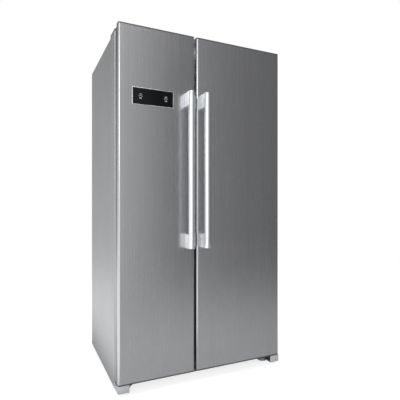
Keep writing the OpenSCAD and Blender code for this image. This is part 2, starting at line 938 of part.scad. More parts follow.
// The top cap has one solid plug with the upper bore, the bottom cap the lower one
module end_caps(s) {
    w = door_w(s);
    bore = pin_r + pin_fit;
    color("dimgray")
    at_side(s) {
        difference() {
            union() {
                door_column(w, sheet, skin_d, plug_z1, door_top - cap_edge);
                door_column(w, 0, skin_d, step_top - cap_edge, door_top);
            }
            behind_lip(step_top);
            // The visible lip stays flush inside the skin below its edge
            difference() {
                door_column(w, -cut, lip_d, step_top - cap_edge - cut, door_top - cap_edge);
                door_column(w, sheet, lip_d + 2, step_top - cap_edge - 2 * cut, door_top);
            }
            translate([pin_in, pin_y, step_top - 26]) cylinder(r = bore, h = 26 + cut);
        }
        difference() {
            union() {
                door_column(w, sheet, skin_d, door_clear, plug_z0);
                door_column(w, 0, skin_d, door_clear, door_clear + cap_edge);
                // Boss over the lower hinge
                translate([pin_in, pin_y, door_clear - boss_drop])
                    intersection() {
                        rounded_can(door_boss_r, 3 * boss_drop, 4);
                        translate([-pin_in, pin_back - door_t, 0]) cube([60, 100, boss_drop]);
                    }
            }
            translate([pin_in, pin_y, door_clear - boss_drop - cut]) cylinder(r = bore, h = 32 + cut);
        }
    }
}

module door_foam(s) {
    w = door_w(s);
    color("khaki")
        at_side(s) door_column(w, sheet, skin_d, plug_z0, plug_z1);
}

module door_liner(s) {
    w = door_w(s);
    y0 = front_y + skin_d;
    y1 = front_y + door_t;
    u0 = cav_u0(s) + 4;
    u1 = swing_end(s, dyke_d + pin_back) - 4;
    color("whitesmoke")
    at_side(s) {
        difference() {
            span([0, y0, door_clear], [w, y1, step_top]);
            // Shallow field inside the raised frame
            span([u0 + 16, y1 - 4, dyke_z0 + 16], [u1 - 16, y1 + cut, dyke_z1 - 16]);
            translate([pin_in, pin_y, step_top - 26]) cylinder(r = pin_r + 2, h = 30);
        }
        // Raised frame that holds the bins
        upright_ring([u0, y1 + seat_fit, dyke_z0], [u1, y1 + dyke_d, dyke_z1], 16);
    }
}

module door_seal(s) {
    w = door_w(s);
    y0 = front_y + door_t;
    color("dimgray")
        at_side(s)
            upright_ring([18, y0, door_clear + 10], [w - 4, y0 + seal_t, step_top - 24], 18);
}

// Plan of a handle: crowned front, flat back
module handle_plan(depth) {
    crown_r = handle_w * 0.62;
    intersection() {
        translate([0, -handle_out]) square([handle_w, depth]);
        union() {
            translate([handle_w / 2, crown_r - handle_out]) circle(crown_r);
            translate([0, 8 - handle_out]) square([handle_w, depth]);
        }
    }
}

module handle(s) {
    u0 = door_w(s) - handle_edge - handle_w;
    z0 = handle_top - handle_len;
    color("white")
    at_side(s)
        translate([u0, front_y, 0])
        union() {
            translate([0, 0, z0]) linear_extrude(handle_len) handle_plan(bar_t);
            for (z = [z0, handle_top - handle_foot])
                translate([0, 0, z]) linear_extrude(handle_foot) handle_plan(handle_out);
        }
}

module door_bins(s) {
    y0 = front_y + door_t - 4;
    y1 = front_y + door_t + bin_reach;
    u0 = max(bin_u0, cav_u0(s) + 4) + 16 + play;
    u1 = min(bin_u1(s), swing_end(s, dyke_d + pin_back) - 20 - play);
    color("azure", 0.6)
    at_side(s)
        for (z = bin_z)
            open_box([u0, y0, z], [u1, y1, z + bin_h], plastic);
}

module left_door_skin() {
    door_skin(LEFT);
}

module left_door_caps() {
    end_caps(LEFT);
}

module left_door_foam() {
    door_foam(LEFT);
}

module left_door_liner() {
    door_liner(LEFT);
}

module left_door_seal() {
    door_seal(LEFT);
}

module left_handle() {
    handle(LEFT);
}

module left_door_bins() {
    door_bins(LEFT);
}

module right_door_skin() {
    door_skin(RIGHT);
}

module right_door_caps() {
    end_caps(RIGHT);
}

module right_door_foam() {
    door_foam(RIGHT);
}

module right_door_liner() {
    door_liner(RIGHT);
}

module right_door_seal() {
    door_seal(RIGHT);
}

module right_handle() {
    handle(RIGHT);
}

module right_door_bins() {
    door_bins(RIGHT);
}

// ---------- display ----------

module display_plate(grow, y0, y1) {
    span([display_x - display_w / 2 - grow, y0, display_z - display_h / 2 - grow],
         [display_x + display_w / 2 + grow, y1, display_z + display_h / 2 + grow]);
}

module display_bezel() {
    color("silver")
    difference() {
        display_plate(bezel_rim, front_y - 3, front_y);
        display_plate(0, front_y - 4, front_y + cut);
    }
}

module display_glass() {
    color("black") display_plate(0, front_y - 2, front_y);
}

cabinet_shell();
back_panel();
base_frame();
insulation_foam();
freezer_liner();
fridge_liner();
mullion_strip();
upper_hinges();
lower_hinges();
hinge_covers();
foot_covers();
levelling_foot_left();
levelling_foot_right();
rear_roller_left();
rear_roller_right();
roller_brackets();
toe_grille();
compressor();
compressor_mounts();
condenser();
condenser_fan_frame();
condenser_fan_blade();
drain_pan();
machine_cover();
control_box();
cord_inlet();
refrigerant_pipes();
evaporator();
evaporator_cover();
evaporator_fan_motor();
evaporator_fan_blade();
fridge_air_duct();
freezer_shelves();
fridge_shelves();
shelf_trims();
freezer_drawer_upper();
freezer_drawer_lower();
crisper_upper();
crisper_lower();
ice_maker_frame();
ice_tray();
ice_bin();
interior_lamps();
left_door_skin();
left_door_caps();
left_door_foam();
left_door_liner();
left_door_seal();
left_handle();
left_door_bins();
right_door_skin();
right_door_caps();
right_door_foam();
right_door_liner();
right_door_seal();
right_handle();
right_door_bins();
display_bezel();
display_glass();
hinge_screws();
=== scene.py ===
# %% [markdown]
# # Side by side refrigerator
#
# This lesson dresses a finished mechanical model. The model already has every part in its
# place, with its real size and its hinges, but plain and sharp-edged. Here each part gets its
# rounded edges, its small details and its surface, and then a studio to stand in.

# %% Load the frame
import json
import math

import bpy
from mathutils import Matrix, Vector


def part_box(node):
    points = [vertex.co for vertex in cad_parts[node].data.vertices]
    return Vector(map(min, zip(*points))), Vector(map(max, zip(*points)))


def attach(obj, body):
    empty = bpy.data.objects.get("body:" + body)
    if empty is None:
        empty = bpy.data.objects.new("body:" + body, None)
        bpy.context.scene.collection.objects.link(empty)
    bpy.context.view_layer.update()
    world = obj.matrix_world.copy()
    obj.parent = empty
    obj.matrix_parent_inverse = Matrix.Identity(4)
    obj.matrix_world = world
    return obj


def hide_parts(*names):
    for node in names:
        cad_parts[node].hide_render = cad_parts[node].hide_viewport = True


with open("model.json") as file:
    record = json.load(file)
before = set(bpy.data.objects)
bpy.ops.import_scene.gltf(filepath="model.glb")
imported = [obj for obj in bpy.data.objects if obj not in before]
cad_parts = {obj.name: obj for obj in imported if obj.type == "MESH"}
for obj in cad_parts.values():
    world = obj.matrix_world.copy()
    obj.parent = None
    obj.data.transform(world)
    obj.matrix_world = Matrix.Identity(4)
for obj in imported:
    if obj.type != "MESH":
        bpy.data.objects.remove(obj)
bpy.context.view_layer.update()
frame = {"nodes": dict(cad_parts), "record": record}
body_of_node = {node: body
                for body, nodes in frame["record"]["behaviour"]["bodies"].items()
                for node in nodes}
slot_of_node = {row["node"]: row["material_slot"] for row in frame["record"]["subparts"]}

# %% [markdown]
# ## Camera
#
# A product picture of a tall appliance is taken with a level camera a little above half
# its height, so that the upright edges stay parallel. A small upward shift of the lens
# centres the object without tilting the camera.

# %% Camera
camera = bpy.data.objects.new("camera", bpy.data.cameras.new("camera"))
bpy.context.scene.collection.objects.link(camera)
camera.location = (-0.8487, -2.0672, 0.8931)
camera.rotation_euler = (math.radians(90), 0, math.radians(-25.12))
camera.data.sensor_width = 36
camera.data.lens = 33.94
camera.data.shift_y = 0.0144
camera.data.clip_end = 200
bpy.context.scene.camera = camera
bpy.context.scene.view_settings.view_transform = "Standard"
print("lens", camera.data.lens)

# %% [markdown]
# ## Writing shaders as sums
#
# A shader is a small calculation for each point of a surface. Typing it as nodes one by one
# hides the idea, so one class wraps a socket and lets it be used in sums and products.
# `Board` holds the nodes of one material, or of the surroundings.

# %% Sockets that can be used in sums
class Signal:
    """One output of a shader node, usable in arithmetic."""

    def __init__(self, board, socket):
        self.board, self.socket = board, socket

    def _math(self, operation, first, second=0.5, third=0.5):
        inputs = {0: first, 1: second, 2: third}
        return self.board.node("Math", {"operation": operation}, inputs)

    def __add__(self, other):
        return self._math("ADD", self, other)

    def __sub__(self, other):
        return self._math("SUBTRACT", self, other)

    def __rsub__(self, other):
        return self._math("SUBTRACT", other, self)

    def __mul__(self, other):
        return self._math("MULTIPLY", self, other)

    def __truediv__(self, other):
        return self._math("DIVIDE", self, other)

    def __gt__(self, other):
        return self._math("GREATER_THAN", self, other)

    def __lt__(self, other):
        return self._math("LESS_THAN", self, other)

    __radd__ = __add__
    __rmul__ = __mul__

    def clamp(self):
        """The signal held between 0 and 1."""
        return self._math("MINIMUM", self._math("MAXIMUM", self, 0.0), 1.0)


class Board:
    """The nodes of one material or of the surroundings."""

    def __init__(self, tree):
        self.tree = tree
        tree.nodes.clear()

    def node(self, kind, settings=None, inputs=None, output=None):
        """Adds a shader node and gives one of its outputs back as a signal."""
        made = self.tree.nodes.new("ShaderNode" + kind)
        for name, value in (settings or {}).items():
            if name == "stops":
                self._set_stops(made.color_ramp, value)
            else:
                setattr(made, name, value)
        for name, value in (inputs or {}).items():
            socket = self._socket(made.inputs, name)
            if isinstance(value, Signal):
                self.tree.links.new(value.socket, socket)
            elif socket is not None:
                socket.default_value = value
        if len(made.outputs) == 0:
            return made
        return Signal(self, self._socket(made.outputs, output if output is not None else 0))

    @staticmethod
    def _socket(sockets, name):
        if isinstance(name, int):
            return sockets[name] if name < len(sockets) else None
        return next((s for s in sockets if s.identifier == name), None) or sockets[name]

    @staticmethod
    def _set_stops(ramp, stops):
        ramp.interpolation = "EASE"
        while len(ramp.elements) < len(stops):
            ramp.elements.new(0.5)
        for element, (position, colour) in zip(ramp.elements, stops):
            element.position = position
            element.color = colour if len(colour) == 4 else (*colour, 1)

    def place(self):
        """Where a point is on the object, in metres."""
        return self.node("TexCoord", output="Object")

    def axis(self, name):
        """One coordinate of the point."""
        return self.node("SeparateXYZ", inputs={0: self.place()}, output=name)

    def noise(self, size, detail=3.0, rough=0.5):
        """Cloudy noise whose patches measure size metres along x, y and z."""
        if not isinstance(size, tuple):
            size = (size, size, size)
        scale = tuple(1 / s for s in size)
        stretched = self.node("Mapping", inputs={"Vector": self.place(), "Scale": scale})
        return self.node("TexNoise", inputs={"Vector": stretched, "Scale": 1.0,
                                             "Detail": detail, "Roughness": rough})

    def blend(self, share, first, second):
        """A colour between two others."""
        ends = [c if isinstance(c, Signal) else (*c, 1)[:4] for c in (first, second)]
        return self.node("Mix", {"data_type": "RGBA"},
                         {"Factor_Float": share, "A_Color": ends[0], "B_Color": ends[1]},
                         output="Result_Color")


print("shader tools ready")

# %% [markdown]
# ## Surroundings
#
# Steel shows what stands around it more than it shows itself. A studio for a steel
# appliance is therefore a ring of light and dark: bright on the left, dark on the right,
# and middling behind. Away from the front it also dims with height. Seen directly, the
# backdrop is plain white.

# %% Surroundings
world = bpy.data.worlds.new("studio")
world.use_nodes = True
bpy.context.scene.world = world
board = Board(world.node_tree)
direction = board.node("TexCoord", output="Generated")
turn = board.node("TexGradient", {"gradient_type": "RADIAL"}, {"Vector": direction}, "Fac")


def grey(value):
    """A grey colour."""
    return (value, value, value)


# A stop is a turn round the object and a brightness. The turn is 0 or 1 on the left,
# 0.25 in front of the doors, 0.5 on the right and 0.75 behind.
RING = [(0.0, grey(0.9)), (0.06, grey(0.8)), (0.12, grey(1.15)), (0.20, grey(1.15)),
        (0.25, grey(0.78)), (0.28, grey(0.48)), (0.315, grey(0.225)), (0.355, grey(0.185)),
        (0.39, grey(0.13)), (0.50, grey(0.10)),
        (0.62, grey(0.5)), (0.73, grey(0.31)), (0.80, grey(0.45)), (0.88, grey(1.0))]
# Brightness away from the front by height: 0.5 is level, 1 is straight up.
BEHIND = [(0.42, grey(1.45)), (0.50, grey(1.0)), (0.60, grey(0.8)), (0.75, grey(0.35)),
          (1.0, grey(0.3))]
# Where the front lies on the ring. It doesn't dim with height.
FRONT = [(0.0, grey(0.0)), (0.10, grey(1.0)), (0.45, grey(1.0)), (0.60, grey(0.0))]
ring = board.node("ValToRGB", {"stops": RING}, {"Fac": turn}, "Color")
up = board.node("SeparateXYZ", inputs={0: direction}, output="Z")
falloff = board.node("ValToRGB", {"stops": BEHIND}, {"Fac": up * 0.5 + 0.5}, "Color")
in_front = board.node("ValToRGB", {"stops": FRONT}, {"Fac": turn}, "Color")
dimming = board.blend(in_front, falloff, grey(1.0))
seen = board.node("Mix", {"data_type": "RGBA", "blend_type": "MULTIPLY"},
                  {"Factor_Float": 1.0, "A_Color": ring, "B_Color": dimming}, "Result_Color")
soft = board.node("Background", inputs={"Color": seen, "Strength": 1.0})
white = board.node("Background", inputs={"Color": (1, 1, 1, 1), "Strength": 1.0})
straight = board.node("LightPath", output="Is Camera Ray")
mixed = board.node("MixShader", inputs={0: straight, 1: soft, 2: white})
board.node("OutputWorld", inputs={"Surface": mixed})


def add_light(name, place, target, size, watts):
    """A soft box: a square lamp that faces a point."""
    lamp = bpy.data.lights.new(name, "AREA")
    lamp.size = size
    lamp.energy = watts
    box = bpy.data.objects.new(name, lamp)
    box.location = place
    box.rotation_euler = (Vector(target) - Vector(place)).to_track_quat("-Z", "Y").to_euler()
    bpy.context.scene.collection.objects.link(box)
    return box


add_light("top_box", (-0.4, -0.6, 3.6), (0, 0, 0), 2.4, 70)
add_light("front_box", (-2.6, -3.2, 2.2), (0, 0, 0.9), 1.6, 18)
print("studio ready")

# %% [markdown]
# ## Finishes
#
# Every finish starts from the same physically based shader. What makes it a real surface is
# the small unevenness: the colour drifts a little, the gloss drifts with handling, and a fine
# bump breaks up the highlights. Sizes of the patterns are in metres, as on the object.

# %% A finish
finishes = {}


class Finish(Board):
    """A named material with one main shader."""

    def __init__(self, name, **fixed):
        self.material = bpy.data.materials.new(name)
        self.material.use_nodes = True
        super().__init__(self.material.node_tree)
        finishes[name] = self.material
        self.fixed = fixed

    def build(self, colour, roughness, bump=None, depth=0.0002, **more):
        """Joins the signals to the main shader."""
        inputs = dict(self.fixed)
        inputs["Base Color"] = colour if isinstance(colour, Signal) else (*colour, 1)
        inputs["Roughness"] = roughness
        inputs.update(more)
        if bump is not None:
            inputs["Normal"] = self.node("Bump", inputs={"Height": bump, "Distance": depth,
                                                         "Strength": 1.0})
        surface = self.node("BsdfPrincipled", inputs=inputs)
        self.node("OutputMaterial", inputs={"Surface": surface})
        return self.material


def shade(colour, factor):
    """A colour made darker or lighter."""
    return tuple(min(1.0, c * factor) for c in colour[:3])


def plain_finish(name, colour, roughness, grain=0.0012, depth=0.00006, drift=0.06,
                 wear=0.16, **fixed):
    """Moulded or painted: a fine grain, slow drift of colour, and gloss that wears."""
    made = Finish(name, **fixed)
    slow = made.noise(0.12, 2.0)
    fine = made.noise(grain, 2.0)
    rubbed = made.noise(0.035, 4.0, 0.6)
    mixed_colour = made.blend(slow, shade(colour, 1 - drift), shade(colour, 1 + drift))
    gloss = (rubbed - 0.5) * wear + roughness
    return made.build(mixed_colour, gloss.clamp(), fine, depth)


print("finish tools ready")

# %% [markdown]
# ### Brushed steel
#
# The door skins are steel brushed from top to bottom. The brush leaves scratches of every
# length, so several noises, each stretched along the door, are added together. They move the
# colour a little, the gloss more, and tilt the surface across the grain.

# %% Brushed steel
steel = Finish("brushed_steel_skin", Metallic=1.0)
scratches = steel.noise((0.0007, 0.0007, 0.12), 2.0)
streaks = steel.noise((0.006, 0.006, 0.7), 3.0)
bands = steel.noise((0.05, 0.05, 2.2), 2.0)
smears = steel.noise(0.16, 3.0)
tone = scratches * 0.35 + streaks * 0.4 + bands * 0.25
steel_colour = steel.blend(tone, (0.56, 0.565, 0.58), (0.63, 0.637, 0.655))
steel_gloss = (scratches - 0.5) * 0.14 + (smears - 0.5) * 0.06 + (streaks - 0.5) * 0.08 + 0.25
steel.build(steel_colour, steel_gloss.clamp(), scratches * 0.6 + streaks * 0.4, 0.00003)
print("brushed steel ready")

# %% [markdown]
# ### Painted sides
#
# The cabinet is a folded sheet with a silver paint. Paint sprayed on sheet has a faint
# orange-peel texture, and its tone drifts a little over a large panel. In front of the fine
# groove near the doors it keeps one even tone.

# %% Painted sides
GROOVE_FRONT = -0.212
SILVER = (0.44, 0.447, 0.458)
paint = Finish("side_paint", Metallic=0.75, **{"Coat Weight": 0.1, "Coat Roughness": 0.25})
peel = paint.noise(0.0022, 2.0)
cloud = paint.noise(0.3, 2.0)
front_return = paint.axis("Y") < GROOVE_FRONT
paint_colour = paint.blend(cloud, SILVER, (0.48, 0.487, 0.498))
paint_colour = paint.blend(front_return, paint_colour, SILVER)
paint.build(paint_colour, ((paint.noise(0.06, 3.0) - 0.5) * 0.12 + 0.36).clamp(), peel,
            0.00008)
print("side paint ready")

# %% [markdown]
# ### Bright metal
#
# The bar of a handle is polished and plated. Its back and its end blocks are satin, and a
# test on how far back a point lies tells them apart. Trims are drawn aluminium, zinc-coated
# sheet shows its crystals, and the screws are plain steel.

# %% Bright metal
handle_finish = Finish("handle_chrome", **{"Coat Weight": 0.2, "Coat Roughness": 0.08})
polish = handle_finish.noise((0.0012, 0.0012, 0.09), 2.0)
prints = handle_finish.noise(0.03, 4.0, 0.6)
SATIN_FROM = -0.3826
satin = handle_finish.axis("Y") > SATIN_FROM
handle_finish.build(handle_finish.blend(polish, (0.86, 0.88, 0.90), (0.94, 0.96, 0.98)),
                    ((prints - 0.5) * 0.08 + (polish - 0.5) * 0.05 + 0.14
                     + satin * 0.14).clamp(),
                    polish, 0.00001, Metallic=0.86 - satin * 0.76)

trim_finish = Finish("drawn_aluminium", Metallic=1.0)
drawn = trim_finish.noise((0.06, 0.0008, 0.0008), 2.0)
trim_finish.build(trim_finish.blend(drawn, (0.62, 0.63, 0.65), (0.78, 0.79, 0.80)),
                  ((drawn - 0.5) * 0.2 + 0.3).clamp(), drawn, 0.00004)

zinc = Finish("zinc_sheet", Metallic=0.9)
spangle = zinc.node("TexVoronoi", inputs={"Vector": zinc.place(), "Scale": 70.0},
                    output="Color")
flake = zinc.node("SeparateColor", inputs={0: spangle}, output=0)
zinc.build(zinc.blend(flake, (0.48, 0.49, 0.51), (0.58, 0.59, 0.60)),
           (flake * 0.18 + 0.34).clamp(), zinc.noise(0.004, 3.0), 0.00002)

screw_finish = Finish("plain_screw", Metallic=1.0)
worn = screw_finish.noise(0.002, 3.0)
screw_finish.build(screw_finish.blend(worn, (0.36, 0.36, 0.37), (0.62, 0.62, 0.63)),
                   ((worn - 0.5) * 0.3 + 0.35).clamp(), worn, 0.00004)

copper = Finish("copper_pipe", Metallic=1.0)
tarnish = copper.noise(0.02, 4.0, 0.6)
copper.build(copper.blend(tarnish, (0.62, 0.27, 0.16), (0.85, 0.46, 0.30)),
             ((tarnish - 0.5) * 0.3 + 0.3).clamp(), copper.noise(0.001), 0.00003)

coil = Finish("coil_aluminium", Metallic=0.9)
dust = coil.noise(0.05, 3.0)
coil.build(coil.blend(dust, (0.58, 0.60, 0.62), (0.76, 0.78, 0.80)),
           ((dust - 0.5) * 0.2 + 0.4).clamp(), coil.noise(0.0015), 0.00005)
print("bright metals ready")

# %% [markdown]
# ### Plastics, rubber, paint and glass
#
# Most other pieces are moulded. They share one recipe and differ in colour, gloss and grain.
# Clear parts let light through by their alpha, tinted a little, as thin walls do.

# %% Plastics, rubber, paint and glass
plain_finish("foam", (0.78, 0.66, 0.36), 0.85, 0.004, 0.0006, 0.12)
plain_finish("liner", (0.84, 0.85, 0.86), 0.34, 0.0024, 0.00001, 0.008, 0.05)
plain_finish("strip", (0.50, 0.51, 0.52), 0.4, 0.002, 0.00004, 0.04, Metallic=0.5)
plain_finish("hinge_steel", (0.09, 0.09, 0.095), 0.42, 0.0016, 0.00006, 0.1, Metallic=0.6)
plain_finish("hinge_cover", (0.15, 0.154, 0.16), 0.42, 0.0014, 0.00008, 0.05)
plain_finish("foot_cover", (0.60, 0.615, 0.64), 0.36, 0.0014, 0.00006, 0.04)
plain_finish("foot", (0.62, 0.64, 0.67), 0.4, 0.0014, 0.00006, 0.04)
plain_finish("roller", (0.045, 0.045, 0.05), 0.6, 0.0012, 0.0001, 0.12)
plain_finish("dark_plastic", (0.05, 0.05, 0.054), 0.5, 0.0014, 0.0001, 0.1)
plain_finish("compressor_paint", (0.016, 0.016, 0.018), 0.3, 0.003, 0.00008, 0.15)
plain_finish("black_rubber", (0.022, 0.022, 0.023), 0.7, 0.0012, 0.00012, 0.12)
plain_finish("condenser_steel", (0.07, 0.07, 0.075), 0.45, 0.002, 0.00008, 0.15, Metallic=0.5)
plain_finish("fan_plastic", (0.70, 0.72, 0.73), 0.35, 0.0014, 0.00005, 0.04)
plain_finish("tray_plastic", (0.42, 0.58, 0.76), 0.3, 0.0014, 0.00004, 0.05)
plain_finish("cap_plastic", (0.085, 0.086, 0.09), 0.4, 0.0014, 0.00006, 0.06)
plain_finish("seal", (0.19, 0.19, 0.195), 0.62, 0.0012, 0.0001, 0.06)
plain_finish("display_glass", (0.005, 0.005, 0.006), 0.12, 0.01, 0.000005, 0.2,
             **{"Specular IOR Level": 0.22})
plain_finish("display_frame", (0.74, 0.75, 0.77), 0.28, 0.001, 0.00002, 0.05, Metallic=1.0)
plain_finish("icon_ink", (0.62, 0.66, 0.70), 0.4, 0.001, 0.00001, 0.03)
plain_finish("lamp", (0.95, 0.95, 0.92), 0.5, 0.002, 0.0001, 0.02,
             **{"Emission Color": (1.0, 0.98, 0.93, 1), "Emission Strength": 0.6})


def clear_finish(name, colour, roughness, alpha):
    """A thin clear wall: mostly see-through, with fine handling marks."""
    made = Finish(name)
    haze = made.noise(0.05, 3.0)
    return made.build(made.blend(haze, shade(colour, 0.95), shade(colour, 1.03)),
                      ((haze - 0.5) * 0.08 + roughness).clamp(), made.noise(0.002), 0.00001,
                      Alpha=((haze - 0.5) * 0.06 + alpha).clamp())


clear_finish("shelf_glass", (0.80, 0.90, 0.88), 0.05, 0.36)
clear_finish("clear_plastic", (0.82, 0.88, 0.92), 0.10, 0.32)

finish_of_slot = {slot: slot for slot in
                  ("foam liner strip hinge_steel hinge_cover foot_cover foot roller "
                   "dark_plastic compressor_paint black_rubber condenser_steel fan_plastic "
                   "shelf_glass clear_plastic tray_plastic lamp cap_plastic seal "
                   "display_glass zinc_sheet").split()}
finish_of_slot.update(side_panel="side_paint", copper="copper_pipe", handle="handle_chrome",
                      evaporator_aluminium="coil_aluminium", shelf_trim="drawn_aluminium",
                      bezel="display_frame", door_skin="brushed_steel_skin",
                      screw="plain_screw")
for node, cad in frame["nodes"].items():
    cad.data.materials.clear()
    cad.data.materials.append(finishes[finish_of_slot[slot_of_node[node]]])
print("finishes", len(finishes))

# %% [markdown]
# ## Hands for modelling
#
# The same few moves make every piece: add a primitive at its size, select faces or edges by
# where they are, bevel, inset or extrude them, and settle the piece on the body it moves
# with. These helpers name those moves. Everything is deselected before each of them.

# %% Helpers
def take(piece):
    """Makes a piece the only selected object."""
    bpy.ops.object.select_all(action="DESELECT")
    piece.select_set(True)
    bpy.context.view_layer.objects.active = piece
    return piece


def add(name, kind, scale=(1, 1, 1), **size):
    """Adds a primitive with its place in its mesh."""
    bpy.ops.object.select_all(action="DESELECT")
    getattr(bpy.ops.mesh, "primitive_" + kind + "_add")(**size)
    piece = bpy.context.active_object
    piece.name = name
    piece.scale = scale
    bpy.ops.object.transform_apply(location=True, rotation=True, scale=True)
    return piece


def block(name, lo, hi):
    """A block between two corners."""
    lo, hi = Vector(lo), Vector(hi)
    return add(name, "cube", size=1, location=(lo + hi) / 2, scale=hi - lo)


TURN = {"X": (0, math.radians(90), 0), "Y": (math.radians(90), 0, 0), "Z": (0, 0, 0)}


def rod(name, centre, radius, length, along="Z", sides=48):
    """A round bar about its middle point."""
    return add(name, "cylinder", vertices=sides, radius=radius, depth=length,
               location=centre, rotation=TURN[along])


def faces(piece, chosen):
    """Enters edit mode with the faces selected for which chosen(centre, normal) is true."""
    take(piece)
    bpy.ops.object.mode_set(mode="EDIT")
    bpy.ops.mesh.select_mode(type="FACE")
    bpy.ops.mesh.select_all(action="DESELECT")
    bpy.ops.object.mode_set(mode="OBJECT")
    for face in piece.data.polygons:
        face.select = bool(chosen(face.center, face.normal))
    bpy.ops.object.mode_set(mode="EDIT")


def edges(piece, chosen):
    """Enters edit mode with the edges selected for which chosen(end, end) is true."""
    take(piece)
    bpy.ops.object.mode_set(mode="EDIT")
    bpy.ops.mesh.select_mode(type="EDGE")
    bpy.ops.mesh.select_all(action="DESELECT")
    bpy.ops.object.mode_set(mode="OBJECT")
    points = piece.data.vertices
    for edge in piece.data.edges:
        edge.select = bool(chosen(points[edge.vertices[0]].co, points[edge.vertices[1]].co))
    bpy.ops.object.mode_set(mode="EDIT")


def leave():
    """Leaves edit mode."""
    bpy.ops.object.mode_set(mode="OBJECT")


def bevel(offset, segments=3):
    """Rounds the selected edges."""
    bpy.ops.mesh.bevel(offset=offset, segments=segments, affect="EDGES", clamp_overlap=True)
    leave()


def inset(width, depth=0.0):
    """Insets the selected faces and moves them in or out."""
    bpy.ops.mesh.inset(thickness=width, depth=depth, use_even_offset=True)
    leave()


def apply_modifier(piece, kind, **settings):
    """Adds a modifier and applies it at once."""
    take(piece)
    modifier = piece.modifiers.new(kind.lower(), kind)
    for name, value in settings.items():
        setattr(modifier, name, value)
    bpy.ops.object.modifier_apply(modifier=modifier.name)


def round_edges(piece, width, segments=2, angle=32):
    """Rounds every edge that is sharper than an angle."""
    apply_modifier(piece, "BEVEL", width=width, segments=segments, limit_method="ANGLE",
                   angle_limit=math.radians(angle), use_clamp_overlap=True)


def upright(axis, tolerance=1e-5):
    """A test for edges that run along one axis."""
    others = [i for i in range(3) if i != "XYZ".index(axis)]

    def chosen(a, b):
        return all(abs(a[i] - b[i]) < tolerance for i in others)
    return chosen


def join(name, pieces):
    """Joins several pieces into one."""
    take(pieces[0])
    for piece in pieces[1:]:
        piece.select_set(True)
    if len(pieces) > 1:
        bpy.ops.object.join()
    pieces[0].name = name
    return pieces[0]


def copy_of(piece, name, shift=(0, 0, 0)):
    """A copy with its own mesh, moved by a distance."""
    made = bpy.data.objects.new(name, piece.data.copy())
    bpy.context.scene.collection.objects.link(made)
    made.data.transform(Matrix.Translation(shift))
    return made


def settle(piece, node, finish=None, stands_for=True, smooth=35):
    """Gives a piece its finish and its body, and lets it stand for a plain node."""
    piece.data.materials.clear()
    piece.data.materials.append(finishes[finish or finish_of_slot[slot_of_node[node]]])
    take(piece)
    bpy.ops.object.shade_smooth_by_angle(angle=math.radians(smooth))
    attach(piece, body_of_node[node])
    if stands_for:
        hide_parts(node)
    return piece


def merged_copy(node):
    """A clean copy of a node's mesh, its loose triangles merged into whole faces."""
    made = bpy.data.objects.new(node + "_piece", frame["nodes"][node].data.copy())
    bpy.context.scene.collection.objects.link(made)
    faces(made, lambda centre, normal: True)
    bpy.ops.mesh.remove_doubles(threshold=0.00001)
    bpy.ops.mesh.dissolve_limited(angle_limit=math.radians(0.5))
    leave()
    return made


def eased(node, width, segments=2, finish=None, angle=32):
    """The node's own shape with eased edges."""
    made = merged_copy(node)
    if width:
        round_edges(made, width, segments, angle)
    return settle(made, node, finish)


print("helpers ready")

# %% [markdown]
# ## Handles
#
# Each handle is one long bar with a block at either end that reaches back to the door. The
# bar's front is crowned, which gives it one bright side and one dark side. It starts as a
# block, is cut across where the end blocks begin, and the back of each end is drawn out to
# the door. The front is cut into long strips, whose edges are set back along an arc.

# %% Handles
END_BLOCK = 0.068
BAR_DEPTH = 0.016
STRIPS = 14
CROWN = 1.1  # radius of the arc across the front, in half widths of the bar


def make_handle(node):
    """One bar handle in the place of its node."""
    lo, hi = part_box(node)
    bar = block(node + "_piece", lo, (hi.x, lo.y + BAR_DEPTH, hi.z))
    for level in (lo.z + END_BLOCK, hi.z - END_BLOCK):
        faces(bar, lambda centre, normal: True)
        bpy.ops.mesh.bisect(plane_co=(0, 0, level), plane_no=(0, 0, 1))
        leave()
    faces(bar, lambda centre, normal: normal.y > 0.9 and abs(
        centre.z - (lo.z + hi.z) / 2) > (hi.z - lo.z) / 2 - END_BLOCK)
    bpy.ops.mesh.extrude_region_move(
        TRANSFORM_OT_translate={"value": (0, hi.y - lo.y - BAR_DEPTH, 0)})
    leave()
    middle, half_width = (lo.x + hi.x) / 2, (hi.x - lo.x) / 2
    for step in range(1, STRIPS):
        place = lo.x + (hi.x - lo.x) * step / STRIPS
        faces(bar, lambda centre, normal: normal.y < -0.9)
        bpy.ops.mesh.bisect(plane_co=(place, 0, 0), plane_no=(1, 0, 0))
        leave()
    crown = half_width * CROWN
    for point in bar.data.vertices:
        if point.co.y < lo.y + 0.0001:
            point.co.y += crown - math.sqrt(crown ** 2 - (point.co.x - middle) ** 2)
    round_edges(bar, 0.0013, 3, 40)
    return settle(bar, node, smooth=40)


for node in ("left_handle", "right_handle"):
    made = make_handle(node)
    print(node, len(made.data.polygons), "faces")

# %% [markdown]
# ## Cabinet
#
# The cabinet is one long sheet folded over the top and down both sides, open at the bottom
# and the back, with a narrow return around the front. A block gives the outline. Its front
# is inset for the return, the open faces are removed, and the corners are rounded. A fine
# groove runs round the sheet behind the front return. Then the sheet gets its thickness.

